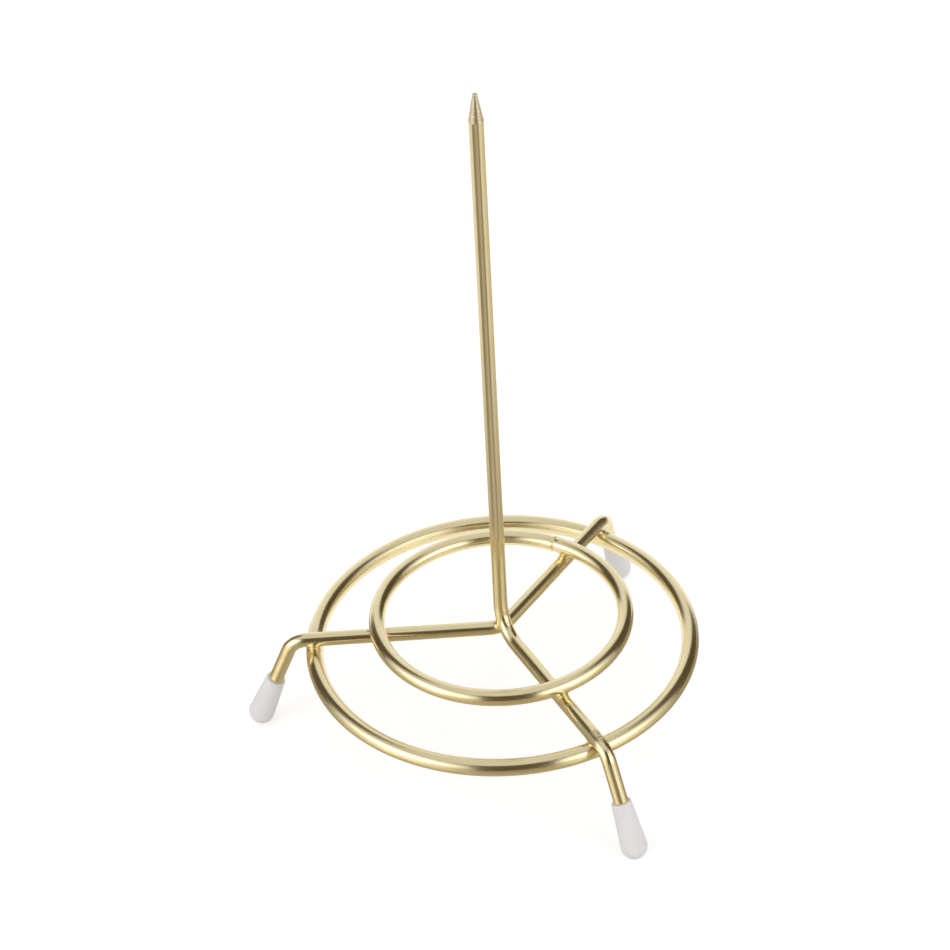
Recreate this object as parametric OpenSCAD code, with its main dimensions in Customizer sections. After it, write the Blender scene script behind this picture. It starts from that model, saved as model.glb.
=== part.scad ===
// Bill spike: a wire stand of two bent wires and two rings, welded together, on three push-on tips.
// Millimetres, +Z up. The origin is on the table, on the axis that the spike and both rings share.
// The front leg points along -Y.

/* [Spike] */
// Height of the spike's point above the table
overall_height = 152; // [110:1:220]
// Diameter of the wire that makes the spike and the legs
leg_wire_d = 3; // [2.4:0.1:4]
// Length of the ground point
point_length = 5.9; // [3:0.1:12]
// Radius of the point's blunt end
point_end_r = 0.5; // [0.2:0.05:0.9]
// Centre-line radius of the elbow between the spike and the front leg
elbow_bend_r = 6.5; // [4:0.5:10]

/* [Legs] */
// Height of the legs' centre lines above the table
leg_height = 22.5; // [18:0.5:40]
// Direction of the left leg, in degrees anticlockwise from +X
left_leg_angle = 155; // [140:1:165]
// Direction of the right leg, in degrees anticlockwise from +X
right_leg_angle = 30; // [15:1:40]
// Centre-line radius of the bend between the two side legs
side_bend_r = 5; // [3:0.5:8]
// Straight run of the front leg past the outer ring's centre line, up to its foot's bend
front_leg_overhang = 2.2; // [0.1:0.1:6]
// The same for the left leg
left_leg_overhang = 1.7; // [0.1:0.1:6]
// The same for the right leg
right_leg_overhang = 0.1; // [0.1:0.1:6]
// Angle by which a foot turns down from its leg
foot_drop_angle = 68; // [50:1:80]
// Sideways lean of a foot: the front foot leans towards +X, the side feet towards each other
foot_lean_angle = 4.2; // [0:0.1:8]
// Centre-line radius of the bend between a leg and its foot
foot_bend_r = 4; // [3.5:0.5:10]
// How much thinner the wire of the legs is where it has been bent
bend_thinning = 0.02; // [0.02:0.01:0.1]

/* [Rings] */
// Centre-line diameter of the outer ring, under the legs
outer_ring_d = 79; // [66:1:110]
// Diameter of the outer ring's wire
outer_ring_wire_d = 3.6; // [2.4:0.1:5]
// Distance along the outer ring from the right leg to the ring's seam
outer_seam_offset = 23; // [3:0.5:30]
// Centre-line diameter of the inner ring, on top of the legs
inner_ring_d = 52; // [40:1:58]
// Diameter of the inner ring's wire
inner_ring_wire_d = 3.4; // [2.4:0.1:5]
// Distance along the inner ring from the right leg to the ring's seam
inner_seam_offset = 2.4; // [2.4:0.1:20]
// Gap between the ends of a ring's wire, which a butt weld fills
seam_gap = 0.25; // [0.1:0.05:0.5]
// Depth of the groove that the butt weld leaves round the wire
seam_depth = 0.15; // [0.05:0.05:0.3]

/* [Welds] */
// Gap between two welded wires
weld_gap = 0.1; // [0.05:0.05:0.3]
// Radius of the bead between a ring and a leg
ring_weld_r = 1.8; // [1:0.1:2.2]
// Radius of the bead between the elbow and the side legs
spike_weld_r = 2.2; // [1.2:0.1:3]

/* [Foot tips] */
// Length of a tip
tip_length = 12.8; // [9:0.1:14]
// Wall of a tip at its mouth
tip_wall = 0.55; // [0.2:0.05:0.8]
// How much wider the round end of a tip is than its mouth
tip_flare = 1.3; // [0.6:0.1:3]
// Thickness of a tip's closed end
tip_floor = 3.5; // [2:0.1:5]
// Radial clearance between a foot's wire and a tip's bore
tip_clearance = 0.05; // [0.02:0.01:0.1]
// Depth of the flat that a tip stands on
tip_flat_depth = 0.25; // [0.1:0.05:0.5]

/* [Hidden] */
$fn = 96;
BRASS = "#c2ab6e";
WELD_BRASS = "#a98f4e";
WHITE = "#e6e3e3";

leg_wire_r = leg_wire_d / 2;
// How far a bend runs into the straight wire at each end
bend_lap = 0.2;
outer_ring_r = outer_ring_d / 2;
inner_ring_r = inner_ring_d / 2;

// Heights of the rings' centre lines, one weld gap below and above the legs
outer_ring_height = leg_height - leg_wire_r - weld_gap - outer_ring_wire_d / 2;
inner_ring_height = leg_height + leg_wire_r + weld_gap + inner_ring_wire_d / 2;

// The V of the side legs: its bend lies one weld gap behind and below the elbow
side_spread = left_leg_angle - right_leg_angle;
side_bisector = (left_leg_angle + right_leg_angle) / 2;
elbow_to_side = elbow_bend_r + leg_wire_d + weld_gap;
side_bend_back = sqrt(pow(elbow_to_side, 2) - pow(elbow_bend_r, 2)) - elbow_bend_r;
side_corner_back = side_bend_back - side_bend_r * (1 / sin(side_spread / 2) - 1);

// Each leg: its direction, the point that its straight line starts from, its overhang and its foot's lean
FRONT = [270, [0, 0], front_leg_overhang, foot_lean_angle];
LEFT = [left_leg_angle, side_corner_back * direction(side_bisector), left_leg_overhang, -foot_lean_angle];
RIGHT = [right_leg_angle, side_corner_back * direction(side_bisector), right_leg_overhang, foot_lean_angle];

// Feet, measured along a foot from the corner where its line meets the leg's
foot_bend_run = foot_bend_r * tan(foot_drop_angle / 2);
tip_mouth_r = leg_wire_r + tip_clearance + tip_wall;
tip_end_r = tip_mouth_r + tip_flare / 2;
foot_fall = sin(foot_drop_angle) * cos(foot_lean_angle);
tip_end_run = (leg_height - tip_end_r + tip_flat_depth) / foot_fall + tip_end_r;
tip_mouth_run = tip_end_run - tip_length;
foot_end_run = tip_end_run - tip_floor;

function direction(angle) = [cos(angle), sin(angle)];

// Distance along a leg's line at which it is r from the axis
function leg_run(leg, r) =
    let (along = leg[1] * direction(leg[0]))
    sqrt(pow(r, 2) - leg[1] * leg[1] + pow(along, 2)) - along;

// Point of a leg's line at the distance run from its start, at the height z
function leg_point(leg, run, z) =
    let (p = leg[1] + run * direction(leg[0]))
    [p[0], p[1], z];

function foot_corner_run(leg) = leg_run(leg, outer_ring_r) + leg[2] + foot_bend_run;

// Angle that a length along a ring of radius r takes up
function arc_angle(length, r) = length / r * 180 / PI;

// Direction of the seam of a ring of radius r, at a distance along the ring from the right leg
function seam_angle(r, offset) =
    let (p = leg_point(RIGHT, leg_run(RIGHT, r), 0))
    atan2(p[1], p[0]) + arc_angle(offset, r);

// Cone from a round base to a ball-shaped nose that it meets smoothly, along +Z
module round_nosed_cone(base_r, nose_r, length) {
    nose_z = length - nose_r;
    slope = atan2(base_r, nose_z) - asin(nose_r / norm([base_r, nose_z]));
    rise = nose_z + nose_r * sin(slope);
    cylinder(h = rise, r1 = base_r, r2 = nose_r * cos(slope));
    translate([0, 0, nose_z])
        sphere(nose_r);
}

// Arc of wire in the XY plane, round the origin, from the angle start over the angle sweep
module wire_arc(r, wire_d, start, sweep) {
    rotate([0, 0, start])
        rotate_extrude(angle = sweep)
            translate([r, 0])
                circle(d = wire_d);
}

// Bend in the wire of the legs, which runs a little way into the straight wire at both ends
module wire_bend(r, start, sweep) {
    lap = arc_angle(bend_lap, r);
    wire_arc(r, leg_wire_d - bend_thinning, start - lap, sweep + 2 * lap);
}

// The same bend in the XZ plane
module upright_wire_bend(r, start, sweep) {
    rotate([90, 0, 0])
        wire_bend(r, start, sweep);
}

// Stands its children on a leg: +X along the leg from its start, Z = 0 at the leg's centre line
module on_leg(leg) {
    translate(leg_point(leg, 0, leg_height))
        rotate([0, 0, leg[0]])
            children();
}

// Stands its children on a foot: +Z along the foot from its corner
module on_foot(leg) {
    on_leg(leg)
        translate([foot_corner_run(leg), 0, 0])
            rotate([leg[3], 0, 0])
                rotate([0, 90 + foot_drop_angle, 0])
                    children();
}

// Leg from the distance start along its line, its bend and its foot
module leg_with_foot(leg, start) {
    bend_run = foot_corner_run(leg) - foot_bend_run;
    on_leg(leg) {
        translate([start, 0, 0])
            rotate([0, 90, 0])
                cylinder(h = bend_run - start, d = leg_wire_d);
        translate([bend_run, 0, 0])
            rotate([leg[3], 0, 0])
                translate([0, 0, -foot_bend_r])
                    upright_wire_bend(foot_bend_r, 90 - foot_drop_angle, foot_drop_angle);
    }
    on_foot(leg)
        translate([0, 0, foot_bend_run])
            cylinder(h = foot_end_run - foot_bend_run, d = leg_wire_d);
}

module spike_and_front_leg() {
    straight_bottom = leg_height + elbow_bend_r;
    straight_top = overall_height - point_length;
    color(BRASS) {
        translate([0, 0, straight_bottom])
            cylinder(h = straight_top - straight_bottom, d = leg_wire_d);
        translate([0, 0, straight_top])
            round_nosed_cone(leg_wire_r, point_end_r, point_length);
        on_leg(FRONT)
            translate([elbow_bend_r, 0, elbow_bend_r])
                upright_wire_bend(elbow_bend_r, 180, 90);
        leg_with_foot(FRONT, elbow_bend_r);
    }
}

module side_legs() {
    bend_turn = 180 - side_spread;
    bend_centre = (side_bend_back + side_bend_r) * direction(side_bisector);
    bend_run = side_bend_r / tan(side_spread / 2);
    color(BRASS) {
        translate([bend_centre[0], bend_centre[1], leg_height])
            wire_bend(side_bend_r, side_bisector + 180 - bend_turn / 2, bend_turn);
        leg_with_foot(LEFT, bend_run);
        leg_with_foot(RIGHT, bend_run);
    }
}

// Ring of wire, open by the gap of its seam
module ring(r, wire_d, height, seam_offset) {
    span = arc_angle(seam_gap, r);
    translate([0, 0, height])
        wire_arc(r, wire_d, seam_angle(r, seam_offset) + span / 2, 360 - span);
}

module outer_ring() {
    color(BRASS)
        ring(outer_ring_r, outer_ring_wire_d, outer_ring_height, outer_seam_offset);
}

module inner_ring() {
    color(BRASS)
        ring(inner_ring_r, inner_ring_wire_d, inner_ring_height, inner_seam_offset);
}

// Butt weld that fills the gap of a ring's seam, a little thinner than the wire
module butt_weld(r, wire_d, height, seam_offset) {
    span = arc_angle(seam_gap, r);
    color(WELD_BRASS)
        translate([0, 0, height])
            wire_arc(r, wire_d - 2 * seam_depth, seam_angle(r, seam_offset) - span / 2, span);
}

module outer_ring_butt_weld() {
    butt_weld(outer_ring_r, outer_ring_wire_d, outer_ring_height, outer_seam_offset);
}

module inner_ring_butt_weld() {
    butt_weld(inner_ring_r, inner_ring_wire_d, inner_ring_height, inner_seam_offset);
}

// Bead of weld metal at a point, cut to the two wires that it joins, which are its children
module weld_bead(point, r) {
    color(WELD_BRASS)
        difference() {
            translate(point)
                sphere(r);
            children();
        }
}

module spike_weld() {
    side = side_bend_back * direction(side_bisector);
    elbow_centre = [0, -elbow_bend_r, leg_height + elbow_bend_r];
    across = [side[0], side[1], leg_height] - elbow_centre;
    reach = elbow_bend_r + leg_wire_r + weld_gap / 2;
    weld_bead(elbow_centre + reach * across / norm(across), spike_weld_r) {
        spike_and_front_leg();
        side_legs();
    }
}

// Bead between the inner ring and the leg under it
module inner_weld(leg) {
    height = leg_height + leg_wire_r + weld_gap / 2;
    weld_bead(leg_point(leg, leg_run(leg, inner_ring_r), height), ring_weld_r) {
        children();
        inner_ring();
    }
}

// Bead between a leg and the outer ring under it
module outer_weld(leg) {
    height = leg_height - leg_wire_r - weld_gap / 2;
    weld_bead(leg_point(leg, leg_run(leg, outer_ring_r), height), ring_weld_r) {
        children();
        outer_ring();
    }
}

module front_inner_weld() {
    inner_weld(FRONT) spike_and_front_leg();
}

module left_inner_weld() {
    inner_weld(LEFT) side_legs();
}

module right_inner_weld() {
    inner_weld(RIGHT) side_legs();
}

module front_outer_weld() {
    outer_weld(FRONT) spike_and_front_leg();
}

module left_outer_weld() {
    outer_weld(LEFT) side_legs();
}

module right_outer_weld() {
    outer_weld(RIGHT) side_legs();
}

// Push-on tip, cut flat where it stands on the table
module tip(leg) {
    end_run = foot_corner_run(leg) + tip_end_run * cos(foot_drop_angle);
    color(WHITE)
        difference() {
            on_foot(leg)
                translate([0, 0, tip_mouth_run])
                    difference() {
                        round_nosed_cone(tip_mouth_r, tip_end_r, tip_length);
                        cylinder(h = tip_length - tip_floor, r = leg_wire_r + tip_clearance);
                    }
            translate(leg_point(leg, end_run, -tip_length))
                cube(2 * tip_length, center = true);
        }
}

module front_tip() {
    tip(FRONT);
}

module left_tip() {
    tip(LEFT);
}

module right_tip() {
    tip(RIGHT);
}

spike_and_front_leg();
side_legs();
outer_ring();
inner_ring();
spike_weld();
front_inner_weld();
left_inner_weld();
right_inner_weld();
front_outer_weld();
left_outer_weld();
right_outer_weld();
inner_ring_butt_weld();
outer_ring_butt_weld();
front_tip();
left_tip();
right_tip();
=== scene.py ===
import math

import bmesh
import bpy
from mathutils import Matrix, Vector, noise


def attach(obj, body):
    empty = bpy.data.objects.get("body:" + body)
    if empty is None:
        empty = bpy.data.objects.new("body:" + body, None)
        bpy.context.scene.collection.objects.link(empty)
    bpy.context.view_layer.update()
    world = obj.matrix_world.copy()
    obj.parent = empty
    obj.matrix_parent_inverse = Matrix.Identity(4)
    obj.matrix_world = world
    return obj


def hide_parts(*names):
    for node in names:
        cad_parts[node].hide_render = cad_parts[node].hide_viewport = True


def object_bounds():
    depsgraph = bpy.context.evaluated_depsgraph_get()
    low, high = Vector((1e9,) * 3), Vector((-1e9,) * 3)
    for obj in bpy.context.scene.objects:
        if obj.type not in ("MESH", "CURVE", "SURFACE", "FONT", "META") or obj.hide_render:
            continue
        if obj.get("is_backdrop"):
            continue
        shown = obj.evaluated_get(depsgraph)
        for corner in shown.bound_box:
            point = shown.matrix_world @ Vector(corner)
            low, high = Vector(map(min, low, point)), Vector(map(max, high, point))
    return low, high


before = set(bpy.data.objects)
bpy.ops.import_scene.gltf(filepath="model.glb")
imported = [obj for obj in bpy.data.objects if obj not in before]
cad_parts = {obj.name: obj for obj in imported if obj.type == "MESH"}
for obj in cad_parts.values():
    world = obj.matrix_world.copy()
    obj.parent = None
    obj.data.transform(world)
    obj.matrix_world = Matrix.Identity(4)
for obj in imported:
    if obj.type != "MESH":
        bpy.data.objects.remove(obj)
cad_low, cad_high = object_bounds()

# Outer ring: the base of the stand, a length of drawn steel wire rolled into a circle.
# It is laid in the welding jig first, and the whole frame is brass plated after welding.
mm = 0.001
up = Vector((0, 0, 1))
outer_ring_r = 39.5 * mm
outer_ring_wire_r = 1.8 * mm
outer_ring_height = 19.1 * mm
outer_seam_angle = math.radians(63.27)
seam_gap = 0.25 * mm
wire_end_round = 0.06 * mm


def direction(angle):
    """Level unit vector at an angle anticlockwise from +X."""
    return Vector((math.cos(angle), math.sin(angle), 0))


class Wire:
    """A round wire that grows from its first end in straight runs, bends and tapers.

    Each vertex keeps its place on the wire as it was before bending, with Z along the wire, and how
    deep the marks of the bending tool are there.
    """

    sides = 64
    ring_step = 1 * mm
    bend_step = math.radians(2.5)
    least_bend_steps = 8
    rim_segments = 3
    bend_marks = 0.15
    mark_edge = 1 / 3

    def __init__(self, wire_r, place, heading):
        self.wire_r = wire_r
        self.place = place
        self.heading = heading.normalized()
        self.run = 0.0
        self.centre_line = []
        self.bm = bmesh.new()
        self.drawn = self.bm.verts.layers.float_vector.new("drawn")
        self.marked = self.bm.verts.layers.float.new("marked")
        bmesh.ops.create_circle(self.bm, segments=self.sides, radius=wire_r)
        for vert in self.bm.verts:
            vert[self.drawn] = vert.co
        turn = up.rotation_difference(self.heading).to_matrix().to_4x4()
        bmesh.ops.transform(self.bm, matrix=Matrix.Translation(place) @ turn, verts=self.bm.verts)
        self.first = list(self.bm.edges)
        self.last = list(self.bm.edges)

    def extrude(self, length, widen=1.0):
        """Carries the open end on by a length, and makes it wider or narrower."""
        made = bmesh.ops.extrude_edge_only(self.bm, edges=self.last)["geom"]
        verts = [part for part in made if isinstance(part, bmesh.types.BMVert)]
        self.last = [part for part in made if isinstance(part, bmesh.types.BMEdge)]
        self.place = self.place + self.heading * length
        self.run = self.run + length
        bmesh.ops.translate(self.bm, verts=verts, vec=self.heading * length)
        bmesh.ops.scale(
            self.bm, verts=verts, vec=(widen,) * 3, space=Matrix.Translation(-self.place)
        )
        for vert in verts:
            around = vert[self.drawn].to_2d() * widen
            vert[self.drawn] = (around.x, around.y, self.run)

    def straight(self, length):
        """Carries the wire straight on, in short steps that keep its tool marks in their place."""
        start, heading = self.place.copy(), self.heading.copy()

        def distance(point):
            along = min(max((point - start).dot(heading), 0), length)
            return (point - start - heading * along).length

        self.centre_line.append(distance)
        steps = math.ceil(length / self.ring_step)
        for _ in range(steps):
            self.extrude(length / steps)

    def bend(self, radius, angle, towards):
        """Turns the wire through an angle about a centre that lies towards one side of it."""
        steps = max(self.least_bend_steps, round(angle / self.bend_step))
        centre = self.place + towards * radius
        axis = self.heading.cross(towards)
        away = -towards
        side = axis.cross(away)

        def distance(point):
            offset = point - centre
            height = offset.dot(axis)
            flat = offset - axis * height
            turned = math.atan2(flat.dot(side), flat.dot(away)) % math.tau
            if turned > angle:
                return math.inf
            return math.hypot(flat.length - radius, height)

        self.centre_line.append(distance)
        count = len(self.bm.verts)
        made = bmesh.ops.spin(
            self.bm, geom=self.last, cent=centre, axis=axis, angle=angle, steps=steps,
            use_merge=False, use_duplicate=False,
        )
        self.last = [part for part in made["geom_last"] if isinstance(part, bmesh.types.BMEdge)]
        self.bm.verts.ensure_lookup_table()
        for index, vert in enumerate(self.bm.verts[count:]):
            step = index // self.sides + 1
            around = vert[self.drawn]
            vert[self.drawn] = (around.x, around.y, self.run + radius * angle * step / steps)
            vert[self.marked] = self.bend_marks * math.sin(math.pi * step / steps)
        turn = Matrix.Rotation(angle, 3, axis)
        self.place = centre + turn @ (self.place - centre)
        self.heading = turn @ self.heading
        self.run = self.run + radius * angle

    def close(self, edges, rounding=0.0):
        """Caps an end of the wire, with its rim rounded."""
        bmesh.ops.holes_fill(self.bm, edges=edges)
        if rounding:
            bmesh.ops.bevel(
                self.bm, geom=edges, offset=rounding, offset_type="OFFSET", affect="EDGES",
                segments=self.rim_segments, profile=0.5, material=-1,
            )

    def mark(self, middle, reach, strength):
        """Leaves the marks of a tool's jaw, even but for their edge, where the wire is near a point."""
        for vert in self.bm.verts:
            near = (1 - (vert.co - middle).length / reach) / self.mark_edge
            vert[self.marked] = max(vert[self.marked], strength * min(near, 1))

    def gap_to(self, point):
        """Distance from a point to the wire's surface, negative inside the wire."""
        return min(distance(point) for distance in self.centre_line) - self.wire_r


crease_angle = math.radians(40)


def to_object(name, bm, *materials):
    """Makes an object of a bmesh, smooth but for its creases, whose place is in its mesh."""
    bmesh.ops.recalc_face_normals(bm, faces=bm.faces)
    for face in bm.faces:
        face.smooth = True
    for edge in bm.edges:
        if edge.calc_face_angle(0) > crease_angle:
            edge.smooth = False
    mesh = bpy.data.meshes.new(name)
    bm.to_mesh(mesh)
    bm.free()
    for material in materials:
        mesh.materials.append(material)
    made = bpy.data.objects.new(name, mesh)
    bpy.context.scene.collection.objects.link(made)
    return made


def linear(code):
    """Linear colour of an sRGB hex code."""
    parts = [int(code[i:i + 2], 16) / 255 for i in (1, 3, 5)]
    return (*[c / 12.92 if c <= 0.04045 else ((c + 0.055) / 1.055) ** 2.4 for c in parts], 1)


def add_node(tree, kind, inputs=None, **settings):
    """Adds a node, with its settings and with each input set to a value or linked from a socket."""
    made = tree.nodes.new("ShaderNode" + kind)
    for name, value in settings.items():
        setattr(made, name, value)
    for key, value in (inputs or {}).items():
        if isinstance(value, bpy.types.NodeSocket):
            tree.links.new(value, made.inputs[key])
        else:
            made.inputs[key].default_value = value
    return made


def new_material(name):
    """An empty material, its node tree and its shader, which is linked to the output."""
    made = bpy.data.materials.new(name)
    made.use_nodes = True
    tree = made.node_tree
    tree.nodes.clear()
    shader = add_node(tree, "BsdfPrincipled")
    add_node(tree, "OutputMaterial", {"Surface": shader.outputs["BSDF"]})
    return made, tree, shader


# Bright brass plating on drawn wire: satin reflections with long, faint lines left by the drawing
# die, clouds of deeper gold where the plating is thicker, and dull, brown-speckled marks where a
# tool gripped it. The lines and marks are drawn coarser than they really are, so that they show.
brass_light = "#f1e4be"
brass_deep = "#eadaa9"
worn_brass = "#a08256"
wire_roughness = 0.16, 0.26
noise_middle = 0.3, 0.7
draw_line_width = 0.16 * mm
draw_line_length = 30 * mm
draw_line_depth = 0.003 * mm
cloud_size = 5 * mm
tool_mark_size = 0.45 * mm
tool_mark_depth = 0.16 * mm
tool_mark_dulling = 0.1
tool_mark_worn_from = 0.8
speckle_noise = 0.42, 0.6
speckle_wear = 0.1, 0.85

plated_wire, tree, shader = new_material("bright_brass_plating_on_drawn_wire")
drawn = add_node(tree, "Attribute", attribute_name="drawn").outputs["Vector"]
marked = add_node(tree, "Attribute", attribute_name="marked").outputs["Fac"]
line_place = add_node(tree, "Mapping", {
    "Vector": drawn,
    "Scale": (1 / draw_line_width, 1 / draw_line_width, 1 / draw_line_length),
})
lines = add_node(tree, "TexNoise", {
    "Vector": line_place.outputs["Vector"], "Scale": 1.0, "Detail": 3.0, "Roughness": 0.6,
})
clouds = add_node(tree, "TexNoise", {"Vector": drawn, "Scale": 1 / cloud_size, "Detail": 4.0})
marks = add_node(tree, "TexNoise", {"Vector": drawn, "Scale": 1 / tool_mark_size, "Detail": 2.0})
speckle = add_node(tree, "MapRange", {
    "Value": marks.outputs["Fac"],
    "From Min": speckle_noise[0], "From Max": speckle_noise[1],
    "To Min": speckle_wear[0], "To Max": speckle_wear[1],
})
rubbed = add_node(tree, "MapRange", {
    "Value": marked, "From Min": tool_mark_worn_from, "From Max": 1.0,
})
worn = add_node(tree, "Math", {
    0: speckle.outputs["Result"], 1: rubbed.outputs["Result"],
}, operation="MULTIPLY")
dull = add_node(tree, "Math", {0: marked, 1: tool_mark_dulling}, operation="MULTIPLY")
mark_level = add_node(tree, "Math", {0: marks.outputs["Fac"], 1: 0.5}, operation="SUBTRACT")
mark_depth = add_node(tree, "Math", {
    0: mark_level.outputs["Value"], 1: marked,
}, operation="MULTIPLY")
clean = add_node(tree, "MixRGB", {
    "Fac": clouds.outputs["Fac"], "Color1": linear(brass_light), "Color2": linear(brass_deep),
})
colour = add_node(tree, "MixRGB", {
    "Fac": worn.outputs["Value"], "Color1": clean.outputs["Color"], "Color2": linear(worn_brass),
})
satin = add_node(tree, "MapRange", {
    "Value": lines.outputs["Fac"],
    "From Min": noise_middle[0], "From Max": noise_middle[1],
    "To Min": wire_roughness[0], "To Max": wire_roughness[1],
})
gloss = add_node(tree, "Math", {
    0: satin.outputs["Result"], 1: dull.outputs["Value"],
}, operation="ADD")
line_bump = add_node(tree, "Bump", {
    "Height": lines.outputs["Fac"], "Distance": draw_line_depth, "Strength": 1.0,
})
bump = add_node(tree, "Bump", {
    "Height": mark_depth.outputs["Value"], "Normal": line_bump.outputs["Normal"],
    "Distance": tool_mark_depth, "Strength": 1.0,
})
tree.links.new(colour.outputs["Color"], shader.inputs["Base Color"])
tree.links.new(gloss.outputs["Value"], shader.inputs["Roughness"])
tree.links.new(bump.outputs["Normal"], shader.inputs["Normal"])
shader.inputs["Metallic"].default_value = 1.0


def ring_wire(radius, wire_r, height, seam_angle):
    """Wire rolled into a ring, open by the gap of its seam and free of tool marks."""
    gap = seam_gap / radius
    start = seam_angle + gap / 2
    wire = Wire(wire_r, radius * direction(start) + height * up, direction(start + math.pi / 2))
    wire.bend(radius, math.tau - gap, -direction(start))
    for vert in wire.bm.verts:
        vert[wire.marked] = 0.0
    wire.close(wire.first, wire_end_round)
    wire.close(wire.last, wire_end_round)
    return wire


outer_ring_wire = ring_wire(outer_ring_r, outer_ring_wire_r, outer_ring_height, outer_seam_angle)
outer_ring = to_object("outer_ring_of_wire", outer_ring_wire.bm, plated_wire)
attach(outer_ring, "root")
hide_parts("outer_ring")

# Butt weld of the outer ring: the two cut ends of its wire, melted together.
# It lies a little below the wire's surface, so the seam stays visible as a fine groove.
seam_depth = 0.15 * mm

# Brass plating over weld metal: smooth, deeper in colour than on the wire, and gently rippled.
# Where a weld runs out onto a wire, its attribute falls to 0 and it looks like the wire beside it.
weld_light = "#f3e3b6"
weld_deep = "#e8d09a"
weld_roughness = 0.26, 0.38
weld_ripple = 0.4 * mm
weld_ripple_depth = 0.015 * mm
run_out_colour = "#eedfb4"
run_out_roughness = 0.21
run_out = 0.02, 0.3

plated_weld, tree, shader = new_material("brass_plating_on_weld_metal")
place = add_node(tree, "TexCoord").outputs["Object"]
melted = add_node(tree, "Attribute", attribute_name="melted").outputs["Fac"]
fused = add_node(tree, "MapRange", {
    "Value": melted, "From Min": run_out[0], "From Max": run_out[1],
}).outputs["Result"]
ripples = add_node(tree, "TexNoise", {"Vector": place, "Scale": 1 / weld_ripple, "Detail": 2.0})
rippled = add_node(tree, "MixRGB", {
    "Fac": ripples.outputs["Fac"], "Color1": linear(weld_light), "Color2": linear(weld_deep),
})
colour = add_node(tree, "MixRGB", {
    "Fac": fused, "Color1": linear(run_out_colour), "Color2": rippled.outputs["Color"],
})
rough = add_node(tree, "MapRange", {
    "Value": ripples.outputs["Fac"],
    "From Min": noise_middle[0], "From Max": noise_middle[1],
    "To Min": weld_roughness[0], "To Max": weld_roughness[1],
})
gloss = add_node(tree, "Mix", {0: fused, 2: run_out_roughness, 3: rough.outputs["Result"]})
bump = add_node(tree, "Bump", {
    "Height": ripples.outputs["Fac"], "Distance": weld_ripple_depth, "Strength": fused,
})
tree.links.new(colour.outputs["Color"], shader.inputs["Base Color"])
tree.links.new(gloss.outputs["Result"], shader.inputs["Roughness"])
tree.links.new(bump.outputs["Normal"], shader.inputs["Normal"])
shader.inputs["Metallic"].default_value = 1.0


def seam_weld(name, radius, wire_r, height, seam_angle):
    """Short plug of weld metal between the ends of a ring's wire."""
    gap = seam_gap / radius
    start = seam_angle - gap / 2
    plug = Wire(
        wire_r - seam_depth, radius * direction(start) + height * up, direction(start + math.pi / 2)
    )
    plug.bend(radius, gap, -direction(start))
    plug.close(plug.first)
    plug.close(plug.last)
    melted = plug.bm.verts.layers.float.new("melted")
    for vert in plug.bm.verts:
        vert[melted] = 1.0
    return to_object(name, plug.bm, plated_weld)


outer_seam = seam_weld(
    "outer_ring_seam_weld", outer_ring_r, outer_ring_wire_r, outer_ring_height, outer_seam_angle
)
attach(outer_seam, "root")
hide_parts("outer_ring_butt_weld")

# Side legs: one drawn steel wire, bent to a V at the centre, with a foot bent down at each end.
# The V lies on the outer ring, with its bend behind and below the elbow of the spike.
leg_wire_r = 1.5 * mm
leg_height = 22.5 * mm
left_leg_angle = math.radians(155)
right_leg_angle = math.radians(30)
weld_gap = 0.1 * mm
elbow_r = 6.5 * mm
side_bend_r = 5.0 * mm
left_leg_overhang = 1.7 * mm
right_leg_overhang = 0.1 * mm
foot_drop = math.radians(68)
foot_lean = math.radians(4.2)
foot_bend_r = 4.0 * mm
tip_end_r = 2.75 * mm
tip_flat_depth = 0.25 * mm
tip_floor = 3.5 * mm

foot_bend_run = foot_bend_r * math.tan(foot_drop / 2)
foot_fall = math.sin(foot_drop) * math.cos(foot_lean)
tip_end_run = (leg_height - tip_end_r + tip_flat_depth) / foot_fall + tip_end_r
foot_length = tip_end_run - tip_floor - foot_bend_run
side_spread = left_leg_angle - right_leg_angle
side_bisector = (left_leg_angle + right_leg_angle) / 2
elbow_to_side = elbow_r + 2 * leg_wire_r + weld_gap
side_bend_back = math.sqrt(elbow_to_side ** 2 - elbow_r ** 2) - elbow_r
side_corner_back = side_bend_back - side_bend_r * (1 / math.sin(side_spread / 2) - 1)
side_corner = side_corner_back * direction(side_bisector) + leg_height * up


class Leg:
    """A leg's straight line: where it starts, which way it goes, and where its foot bends off it."""

    def __init__(self, start, angle, overhang, lean):
        self.start = start
        self.way = direction(angle)
        self.down = direction(angle + math.pi / 2) * math.sin(lean) - up * math.cos(lean)
        self.bend_run = self.run_to(outer_ring_r) + overhang
        self.foot_way = self.way * math.cos(foot_drop) + self.down * math.sin(foot_drop)
        self.foot_corner = self.point(self.bend_run + foot_bend_run)

    def run_to(self, radius):
        """Distance along the leg to where it is a radius from the spike's axis."""
        flat = Vector((self.start.x, self.start.y, 0))
        along = flat.dot(self.way)
        return math.sqrt(radius ** 2 - flat.length_squared + along ** 2) - along

    def point(self, run):
        return self.start + self.way * run


left_leg = Leg(side_corner, left_leg_angle, left_leg_overhang, -foot_lean)
right_leg = Leg(side_corner, right_leg_angle, right_leg_overhang, foot_lean)


def wire_from_foot(leg, leg_start):
    """Wire that starts in a foot, bends onto its leg and runs along it to a distance from its start."""
    foot_end = leg.foot_corner + leg.foot_way * (foot_bend_run + foot_length)
    wire = Wire(leg_wire_r, foot_end, -leg.foot_way)
    wire.straight(foot_length)
    wire.bend(foot_bend_r, foot_drop, leg.down * math.cos(foot_drop) - leg.way * math.sin(foot_drop))
    wire.straight(leg.bend_run - leg_start)
    return wire


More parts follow.
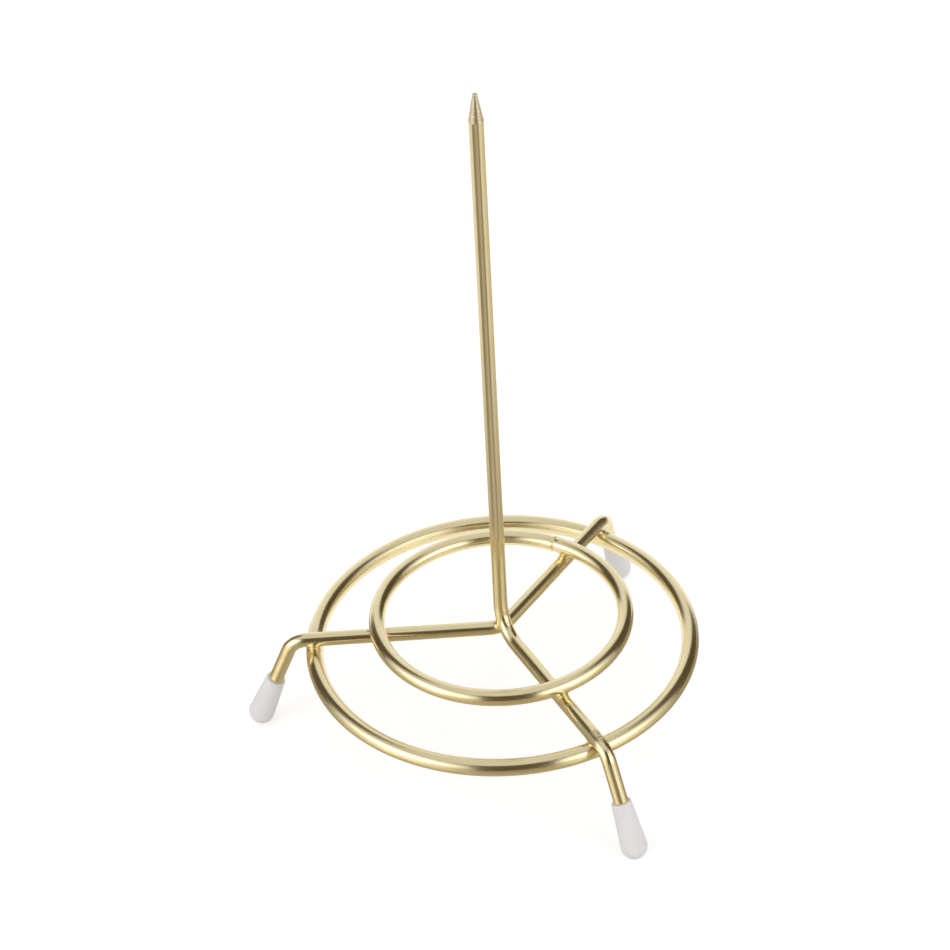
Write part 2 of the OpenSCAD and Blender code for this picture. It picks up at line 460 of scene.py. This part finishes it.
side_bend_start = side_bend_r / math.tan(side_spread / 2)
side_wire = wire_from_foot(left_leg, side_bend_start)
side_wire.bend(side_bend_r, math.pi - side_spread, direction(left_leg_angle - math.pi / 2))
side_wire.straight(right_leg.bend_run - side_bend_start)
side_wire.bend(foot_bend_r, foot_drop, right_leg.down)
side_wire.straight(foot_length)
side_wire.close(side_wire.first, wire_end_round)
side_wire.close(side_wire.last, wire_end_round)
side_legs = to_object("side_legs_of_wire", side_wire.bm, plated_wire)
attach(side_legs, "root")
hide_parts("side_legs")

# Spike and front leg: one drawn steel wire, bent up at the centre and down into the front foot.
# Its upper end is ground to a blunt point before plating, and the jaws of the bending tools have
# left worn marks on the elbow and above the bend of the foot.
overall_height = cad_high.z
point_length = 5.9 * mm
point_end_r = 0.5 * mm
nose_steps = 8
nose_flat_share = 0.02
front_leg_angle = math.radians(270)
front_leg_overhang = 2.2 * mm
elbow_mark = Vector((0.7, -2.9, 26.2)) * mm
elbow_mark_reach = 1.4 * mm
elbow_mark_strength = 0.8
foot_marks = Vector((0.5, -40.0, 24.9)) * mm, Vector((0.8, -42.0, 24.8)) * mm
foot_mark_reach = 2.1 * mm
foot_mark_strength = 1.0

# Brass plating on ground steel: the grinding marks run round the cone and blur what it reflects.
# They are drawn coarser than they really are, so that they show.
ground_light = "#e6d9bb"
ground_deep = "#cbbb96"
ground_roughness = 0.24, 0.4
grind_width = 0.35 * mm
grind_length = 0.875 * mm
grind_depth = 0.09 * mm

plated_point, tree, shader = new_material("brass_plating_on_ground_point")
drawn = add_node(tree, "Attribute", attribute_name="drawn").outputs["Vector"]
mark_place = add_node(tree, "Mapping", {
    "Vector": drawn, "Scale": (1 / grind_length, 1 / grind_length, 1 / grind_width),
})
marks = add_node(tree, "TexNoise", {
    "Vector": mark_place.outputs["Vector"], "Scale": 1.0, "Detail": 3.0, "Roughness": 0.65,
})
colour = add_node(tree, "MixRGB", {
    "Fac": marks.outputs["Fac"], "Color1": linear(ground_light), "Color2": linear(ground_deep),
})
gloss = add_node(tree, "MapRange", {
    "Value": marks.outputs["Fac"],
    "From Min": noise_middle[0], "From Max": noise_middle[1],
    "To Min": ground_roughness[0], "To Max": ground_roughness[1],
})
bump = add_node(tree, "Bump", {
    "Height": marks.outputs["Fac"], "Distance": grind_depth, "Strength": 1.0,
})
tree.links.new(colour.outputs["Color"], shader.inputs["Base Color"])
tree.links.new(gloss.outputs["Result"], shader.inputs["Roughness"])
tree.links.new(bump.outputs["Normal"], shader.inputs["Normal"])
shader.inputs["Metallic"].default_value = 1.0

front_leg = Leg(leg_height * up, front_leg_angle, front_leg_overhang, foot_lean)
spike_wire = wire_from_foot(front_leg, elbow_r)
spike_wire.bend(elbow_r, math.pi / 2, up)
spike_wire.mark(elbow_mark, elbow_mark_reach, elbow_mark_strength)
for foot_mark in foot_marks:
    spike_wire.mark(foot_mark, foot_mark_reach, foot_mark_strength)
spike_wire.straight(overall_height - point_length - leg_height - elbow_r)
for edge in spike_wire.last:
    edge.smooth = False
nose_height = point_length - point_end_r
cone_slope = math.atan2(leg_wire_r, nose_height)
cone_slope = cone_slope - math.asin(point_end_r / math.hypot(leg_wire_r, nose_height))
cone_end_r = point_end_r * math.cos(cone_slope)
spike_wire.extrude(nose_height + point_end_r * math.sin(cone_slope), cone_end_r / leg_wire_r)
for step in range(nose_steps):
    low = cone_slope + (math.pi / 2 - cone_slope) * step / nose_steps
    high = cone_slope + (math.pi / 2 - cone_slope) * (step + 1) / nose_steps
    rise = point_end_r * (math.sin(high) - math.sin(low))
    spike_wire.extrude(rise, max(math.cos(high), nose_flat_share) / math.cos(low))
spike_wire.close(spike_wire.first, wire_end_round)
spike_wire.close(spike_wire.last)
for face in spike_wire.bm.faces:
    if face.calc_center_median().z > overall_height - point_length:
        face.material_index = 1
spike = to_object("spike_and_front_leg_of_wire", spike_wire.bm, plated_wire, plated_point)
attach(spike, "root")
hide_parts("spike_and_front_leg")

# Inner ring: a smaller ring of drawn wire, welded on top of the legs with its seam by the right leg.
# Slips of paper come to rest on it.
inner_ring_r = 26.0 * mm
inner_ring_wire_r = 1.7 * mm
inner_ring_height = 25.8 * mm
inner_seam_angle = math.radians(35.15)

inner_ring_wire = ring_wire(inner_ring_r, inner_ring_wire_r, inner_ring_height, inner_seam_angle)
inner_ring = to_object("inner_ring_of_wire", inner_ring_wire.bm, plated_wire)
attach(inner_ring, "root")
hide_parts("inner_ring")

inner_seam = seam_weld(
    "inner_ring_seam_weld", inner_ring_r, inner_ring_wire_r, inner_ring_height, inner_seam_angle
)
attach(inner_seam, "root")
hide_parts("inner_ring_butt_weld")

# Welds between the wires: small fillets of metal that the welding current squeezed out and melted.
# Each fills the corner where two wires cross and runs out smoothly onto both.
fillet_width = 2.3 * mm
spike_fillet_width = 3.4 * mm
fillet_reach = 3.6 * mm
fillet_sink = 0.006 * mm
fillet_accuracy = 0.1 * fillet_sink
fillet_ripple = 0.01 * mm
fillet_ripple_size = 0.8 * mm
fillet_steps = 24
fillet_subdivisions = 5


def weld_fillet(name, place, one, other, width):
    """Closed skin round a point where two wires touch, which blends their surfaces together."""
    bm = bmesh.new()
    melted = bm.verts.layers.float.new("melted")
    bmesh.ops.create_icosphere(bm, subdivisions=fillet_subdivisions, radius=1)
    for vert in bm.verts:
        way = vert.co.normalized()
        out = 0.0
        for _ in range(fillet_steps):
            point = place + way * out
            gaps = one.gap_to(point), other.gap_to(point)
            corner = max(width - abs(gaps[0] - gaps[1]), 0) / width
            ripple = fillet_ripple * noise.noise(point / fillet_ripple_size)
            fade = max(1 - (out / fillet_reach) ** 2, 0) ** 2
            inside = corner ** 3 * (width / 6 + ripple) * fade - min(gaps) - fillet_sink
            if inside < fillet_accuracy or out > fillet_reach:
                break
            out = out + inside
        vert.co = place + way * min(out, fillet_reach)
        vert[melted] = corner ** 3 * fade
    made = to_object(name, bm, plated_weld)
    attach(made, "root")
    return made


legs = {
    "front": (front_leg, spike_wire),
    "left": (left_leg, side_wire),
    "right": (right_leg, side_wire),
}
for side, (leg, leg_wire) in legs.items():
    outer_point = leg.point(leg.run_to(outer_ring_r)) - up * (leg_wire_r + weld_gap / 2)
    outer_weld = weld_fillet(
        side + "_outer_weld_fillet", outer_point, leg_wire, outer_ring_wire, fillet_width
    )
    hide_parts(side + "_outer_weld")
    inner_point = leg.point(leg.run_to(inner_ring_r)) + up * (leg_wire_r + weld_gap / 2)
    inner_weld = weld_fillet(
        side + "_inner_weld_fillet", inner_point, leg_wire, inner_ring_wire, fillet_width
    )
    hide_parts(side + "_inner_weld")

elbow_centre = Vector((0, -elbow_r, leg_height + elbow_r))
side_bend_middle = side_bend_back * direction(side_bisector) + leg_height * up
spike_weld_way = (side_bend_middle - elbow_centre).normalized()
spike_weld_point = elbow_centre + spike_weld_way * (elbow_r + leg_wire_r + weld_gap / 2)
spike_weld = weld_fillet(
    "spike_weld_fillet", spike_weld_point, spike_wire, side_wire, spike_fillet_width
)
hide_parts("spike_weld")

# Foot tips: caps of soft white vinyl, moulded thick at the round end and pushed onto the feet.
# They are thin at the mouth, where they grip the wire, and worn flat where they stand.
tip_length = 12.8 * mm
tip_grip = 0.02 * mm
tip_bore_r = leg_wire_r - tip_grip
tip_mouth_r = 2.1 * mm
tip_lip_round = 0.18 * mm
tip_lip_steps = 5
tip_ball_steps = 20
tip_sides = 64
merge_distance = 0.001 * mm

# Soft vinyl: matt, faintly see-through and cool white, with a fine grain from the mould, which is
# drawn coarser than it really is, so that it shows.
vinyl_light = "#e9e6e6"
vinyl_shade = "#e1dddd"
vinyl_roughness = 0.42, 0.58
vinyl_ior = 1.53
vinyl_grain = 0.5 * mm
vinyl_grain_depth = 0.02 * mm
vinyl_cloud = 3 * mm
vinyl_see_through = 0.25
vinyl_light_depth = 1.5 * mm
vinyl_light_spread = 1.0, 0.9, 0.85

soft_vinyl, tree, shader = new_material("soft_white_vinyl")
place = add_node(tree, "TexCoord").outputs["Object"]
grain = add_node(tree, "TexNoise", {"Vector": place, "Scale": 1 / vinyl_grain, "Detail": 3.0})
clouds = add_node(tree, "TexNoise", {"Vector": place, "Scale": 1 / vinyl_cloud, "Detail": 2.0})
colour = add_node(tree, "MixRGB", {
    "Fac": clouds.outputs["Fac"], "Color1": linear(vinyl_light), "Color2": linear(vinyl_shade),
})
gloss = add_node(tree, "MapRange", {
    "Value": grain.outputs["Fac"],
    "From Min": noise_middle[0], "From Max": noise_middle[1],
    "To Min": vinyl_roughness[0], "To Max": vinyl_roughness[1],
})
bump = add_node(tree, "Bump", {
    "Height": grain.outputs["Fac"], "Distance": vinyl_grain_depth, "Strength": 1.0,
})
tree.links.new(colour.outputs["Color"], shader.inputs["Base Color"])
tree.links.new(gloss.outputs["Result"], shader.inputs["Roughness"])
tree.links.new(bump.outputs["Normal"], shader.inputs["Normal"])
shader.inputs["Subsurface Weight"].default_value = vinyl_see_through
shader.inputs["Subsurface Radius"].default_value = vinyl_light_spread
shader.inputs["Subsurface Scale"].default_value = vinyl_light_depth
shader.inputs["IOR"].default_value = vinyl_ior


def vinyl_tip(name, leg):
    """Cap turned round the line of a foot, then cut flat by the table."""
    bm = bmesh.new()
    ball_height = tip_length - tip_end_r
    slope = math.atan2(tip_end_r - tip_mouth_r, ball_height - tip_lip_round)
    floor_middle = bm.verts.new((0, 0, tip_length - tip_floor))
    floor_edge = bm.verts.new((tip_bore_r, 0, tip_length - tip_floor))
    bore_end = bm.verts.new((tip_bore_r, 0, 0))
    lip_start = bm.verts.new((tip_mouth_r - tip_lip_round, 0, 0))
    ball_start = bm.verts.new(
        (tip_end_r * math.cos(slope), 0, ball_height - tip_end_r * math.sin(slope))
    )
    bm.edges.new((floor_middle, floor_edge))
    bm.edges.new((floor_edge, bore_end))
    bm.edges.new((bore_end, lip_start))
    lip = bmesh.ops.spin(
        bm, geom=[lip_start], cent=(tip_mouth_r - tip_lip_round, 0, tip_lip_round), axis=(0, -1, 0),
        angle=math.pi / 2, steps=tip_lip_steps,
    )
    lip_end = [part for part in lip["geom_last"] if isinstance(part, bmesh.types.BMVert)][0]
    bm.edges.new((lip_end, ball_start))
    bmesh.ops.spin(
        bm, geom=[ball_start], cent=(0, 0, ball_height), axis=(0, -1, 0),
        angle=math.pi / 2 + slope, steps=tip_ball_steps,
    )
    bmesh.ops.spin(
        bm, geom=bm.verts[:] + bm.edges[:], cent=(0, 0, 0), axis=(0, 0, 1), angle=math.tau,
        steps=tip_sides, use_merge=True,
    )
    bmesh.ops.remove_doubles(bm, verts=bm.verts, dist=merge_distance)
    bmesh.ops.recalc_face_normals(bm, faces=bm.faces)
    mouth = leg.foot_corner + leg.foot_way * (tip_end_run - tip_length)
    turn = up.rotation_difference(leg.foot_way).to_matrix().to_4x4()
    bmesh.ops.transform(bm, matrix=Matrix.Translation(mouth) @ turn, verts=bm.verts)
    cut = bmesh.ops.bisect_plane(
        bm, geom=bm.verts[:] + bm.edges[:] + bm.faces[:], plane_co=(0, 0, 0), plane_no=(0, 0, -1),
        clear_outer=True,
    )
    rim = [part for part in cut["geom_cut"] if isinstance(part, bmesh.types.BMEdge)]
    bmesh.ops.holes_fill(bm, edges=rim)
    return to_object(name, bm, soft_vinyl)


for side, (leg, _) in legs.items():
    tip = vinyl_tip(side + "_vinyl_tip", leg)
    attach(tip, "root")
    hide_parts(side + "_tip")

# Table top: a round sheet of matt white board that the stand is photographed on.
# It is lifted to white for the camera and in reflections, and keeps the shadows of the tips.
table_r = 0.6
table_sides = 96
table_drop = 0.02 * mm
table_white = 0.8
table_lift = 0.38
matt_roughness = 0.9
white = 1, 1, 1, 1

board, tree, shader = new_material("matt_white_board")
path = add_node(tree, "LightPath")
seen = add_node(tree, "Math", {
    0: path.outputs["Is Camera Ray"], 1: path.outputs["Is Glossy Ray"],
}, operation="ADD")
seen = add_node(tree, "Math", {
    0: seen.outputs["Value"], 1: path.outputs["Is Transmission Ray"],
}, operation="ADD")
lift = add_node(tree, "Math", {0: seen.outputs["Value"], 1: table_lift}, operation="MULTIPLY")
tree.links.new(lift.outputs["Value"], shader.inputs["Emission Strength"])
shader.inputs["Emission Color"].default_value = white
shader.inputs["Base Color"].default_value = table_white, table_white, table_white, 1
shader.inputs["Roughness"].default_value = matt_roughness
shader.inputs["Specular IOR Level"].default_value = 0.0

bm = bmesh.new()
bmesh.ops.create_circle(bm, cap_ends=True, segments=table_sides, radius=table_r)
bmesh.ops.translate(bm, verts=bm.verts, vec=(0, 0, -table_drop))
table = to_object("table_top", bm, board)
table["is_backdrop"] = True

# Surroundings: a white room whose ceiling is a little dimmer than its walls.
# The change is gradual, between two heights on a sky of radius 1.
wall_level = 1.0
ceiling_level = 0.75
wall_top = 0.3
ceiling_edge = 0.9

world = bpy.data.worlds.new("white_room")
bpy.context.scene.world = world
world.use_nodes = True
tree = world.node_tree
tree.nodes.clear()
place = add_node(tree, "TexCoord").outputs["Generated"]
height = add_node(tree, "SeparateXYZ", {"Vector": place}).outputs["Z"]
level = add_node(tree, "MapRange", {
    "Value": height, "From Min": wall_top, "From Max": ceiling_edge,
    "To Min": wall_level, "To Max": ceiling_level,
}, interpolation_type="SMOOTHSTEP")
background = add_node(tree, "Background", {"Color": white, "Strength": level.outputs["Result"]})
add_node(tree, "OutputWorld", {"Surface": background.outputs["Background"]})

# Softboxes: two large lamps in front of the stand, one to each side of the camera.
# Dark brown cards at both sides and behind the camera are seen in reflections alone, and give the
# bright wire its dark lines, as in a studio.
view_heading = math.radians(25.76)
softbox_distance = 1.15
softbox_width = 2.6
softbox_height = 2.0
softbox_lift = math.radians(23)
card_distance = 0.9
card_brown = "#4c3d20"
black = 0, 0, 0, 1


def panel(name, bearing, lift, distance, width, height, material, lean=0.0):
    """Flat panel that faces the stand, at a bearing clockwise from the view and an angle above level."""
    bm = bmesh.new()
    bm.loops.layers.uv.new("panel")
    bmesh.ops.create_grid(bm, x_segments=1, y_segments=1, size=0.5, calc_uvs=True)
    bmesh.ops.scale(bm, vec=(width, height, 1), verts=bm.verts)
    turn = (
        Matrix.Rotation(-view_heading - bearing, 4, "Z")
        @ Matrix.Rotation(math.pi / 2 + lift, 4, "X")
        @ Matrix.Translation((0, 0, -distance))
        @ Matrix.Rotation(-lean, 4, "Z")
    )
    bmesh.ops.transform(bm, matrix=turn, verts=bm.verts)
    made = to_object(name, bm, material)
    made.visible_camera = False
    made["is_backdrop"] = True
    return made


def softbox(name, bearing, middle, edge):
    """Lamp behind a white cloth, whose level falls from its middle to its edge."""
    cloth, tree, shader = new_material(name + "_cloth")
    place = add_node(tree, "TexCoord").outputs["UV"]
    centred = add_node(tree, "Mapping", {"Vector": place, "Location": (-1, -1, 0), "Scale": (2, 2, 1)})
    falloff = add_node(tree, "TexGradient", {
        "Vector": centred.outputs["Vector"],
    }, gradient_type="QUADRATIC_SPHERE")
    level = add_node(tree, "MapRange", {
        "Value": falloff.outputs["Fac"], "To Min": edge, "To Max": middle,
    })
    tree.links.new(level.outputs["Result"], shader.inputs["Emission Strength"])
    shader.inputs["Emission Color"].default_value = white
    shader.inputs["Base Color"].default_value = black
    panel(name, bearing, softbox_lift, softbox_distance, softbox_width, softbox_height, cloth)


softbox("left_softbox", bearing=math.radians(-121), middle=3.3, edge=0.45)
softbox("right_softbox", bearing=math.radians(129), middle=2.95, edge=0.42)

dark_card, tree, shader = new_material("dark_brown_card")
shader.inputs["Base Color"].default_value = linear(card_brown)
shader.inputs["Roughness"].default_value = matt_roughness
dark_cards = {
    "left_card": {"bearing": -55, "lift": 22, "width": 0.54, "height": 1.6, "lean": 16},
    "right_card": {"bearing": 57, "lift": 20, "width": 0.74, "height": 1.5, "lean": -14},
    "camera_card": {"bearing": 177, "lift": 18, "width": 0.70, "height": 1.7, "lean": 0},
}
for name, card in dark_cards.items():
    made = panel(
        name, math.radians(card["bearing"]), math.radians(card["lift"]), card_distance,
        card["width"], card["height"], dark_card, math.radians(card["lean"]),
    )
    made.visible_diffuse = False
    made.visible_shadow = False

# Grey sheet round the front of the stand: a half-glossy sheet that lies on the table top.
# It is seen in reflections alone, so that the low wires show the lamps in it again.
sheet_grey = "#d9d0ba"
sheet_metallic = 0.38
sheet_roughness = 0.2
sheet_near = 1 * mm
sheet_far = 0.45
sheet_lift = 0.01 * mm
fan_steps = 32


def fan(name, height, near, far, first, last, material):
    """Level part of a disc about the spike, between two bearings in degrees clockwise from the view."""
    bm = bmesh.new()
    way = direction(math.pi / 2 - view_heading - math.radians(first))
    inner = bm.verts.new(near * way + height * up)
    outer = bm.verts.new(far * way + height * up)
    edge = bm.edges.new((inner, outer))
    bmesh.ops.spin(
        bm, geom=[inner, outer, edge], cent=(0, 0, 0), axis=(0, 0, -1),
        angle=math.radians(last - first), steps=fan_steps,
    )
    made = to_object(name, bm, material)
    made.visible_camera = False
    made.visible_diffuse = False
    made.visible_shadow = False
    made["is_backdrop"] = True


half_gloss, tree, shader = new_material("half_glossy_grey_sheet")
shader.inputs["Base Color"].default_value = linear(sheet_grey)
shader.inputs["Metallic"].default_value = sheet_metallic
shader.inputs["Roughness"].default_value = sheet_roughness
fan("grey_sheet", sheet_lift, sheet_near, sheet_far, first=52, last=310, material=half_gloss)
fan("front_sheet", sheet_lift, sheet_far, table_r, first=148, last=212, material=half_gloss)

# Grey cards above the sheet: part of a ring of matt cards, in paler and darker greys, at elbow height.
# They show from above and in reflections alone, so they give the spike its long pale and dark lines.
card_height = 29 * mm
card_near = 25 * mm
card_shade_end = 110 * mm
card_far = 320 * mm


def spike_card(name, first, last, near_code, far_code):
    """Card whose grey changes from its inner to its outer edge, and which can't be seen from below."""
    grey, tree, shader = new_material(name + "_grey")
    place = add_node(tree, "TexCoord").outputs["Object"]
    reach = add_node(tree, "VectorMath", {0: place}, operation="LENGTH").outputs["Value"]
    shade = add_node(tree, "MapRange", {
        "Value": reach, "From Min": card_near, "From Max": card_shade_end,
    })
    colour = add_node(tree, "MixRGB", {
        "Fac": shade.outputs["Result"], "Color1": linear(near_code), "Color2": linear(far_code),
    })
    below = add_node(tree, "NewGeometry").outputs["Backfacing"]
    seen = add_node(tree, "Math", {0: 1.0, 1: below}, operation="SUBTRACT")
    tree.links.new(colour.outputs["Color"], shader.inputs["Base Color"])
    tree.links.new(seen.outputs["Value"], shader.inputs["Alpha"])
    shader.inputs["Roughness"].default_value = matt_roughness
    shader.inputs["Specular IOR Level"].default_value = 0.0
    fan(name, card_height, card_near, card_far, first, last, grey)


spike_card("right_far_card", first=66, last=112, near_code="#b5ada1", far_code="#e5ded1")
spike_card("right_pale_card", first=112, last=147, near_code="#bbb3a8", far_code="#f7f2ed")
spike_card("right_dark_card", first=147, last=170, near_code="#aaa295", far_code="#968b77")
spike_card("middle_card", first=170, last=208, near_code="#d2cac1", far_code="#c1b8a9")
spike_card("left_dark_card", first=208, last=248, near_code="#aca49a", far_code="#9a8f7c")
spike_card("left_pale_card", first=248, last=312, near_code="#bfb7ab", far_code="#fbf8f7")

# Camera: a long lens that looks down on the stand from in front and to its left.
# Its place, angles and focal length are those that fit the rings, spike and feet in the photograph.
camera_place = Vector((-226.5, -460.6, 456.2)) * mm
view_tilt = math.radians(-37.452)
view_roll = math.radians(-3.151)
photo_width = 950
focal_pixels = 3200
sensor_width = 36

camera_data = bpy.data.cameras.new("camera")
camera_data.sensor_width = sensor_width
camera_data.lens = sensor_width * focal_pixels / photo_width
camera = bpy.data.objects.new("camera", camera_data)
camera.matrix_world = (
    Matrix.Translation(camera_place)
    @ Matrix.Rotation(-view_heading, 4, "Z")
    @ Matrix.Rotation(math.pi / 2 + view_tilt, 4, "X")
    @ Matrix.Rotation(view_roll, 4, "Z")
)
bpy.context.scene.collection.objects.link(camera)
bpy.context.scene.camera = camera
bpy.context.scene.view_settings.view_transform = "Standard"

low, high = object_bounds()
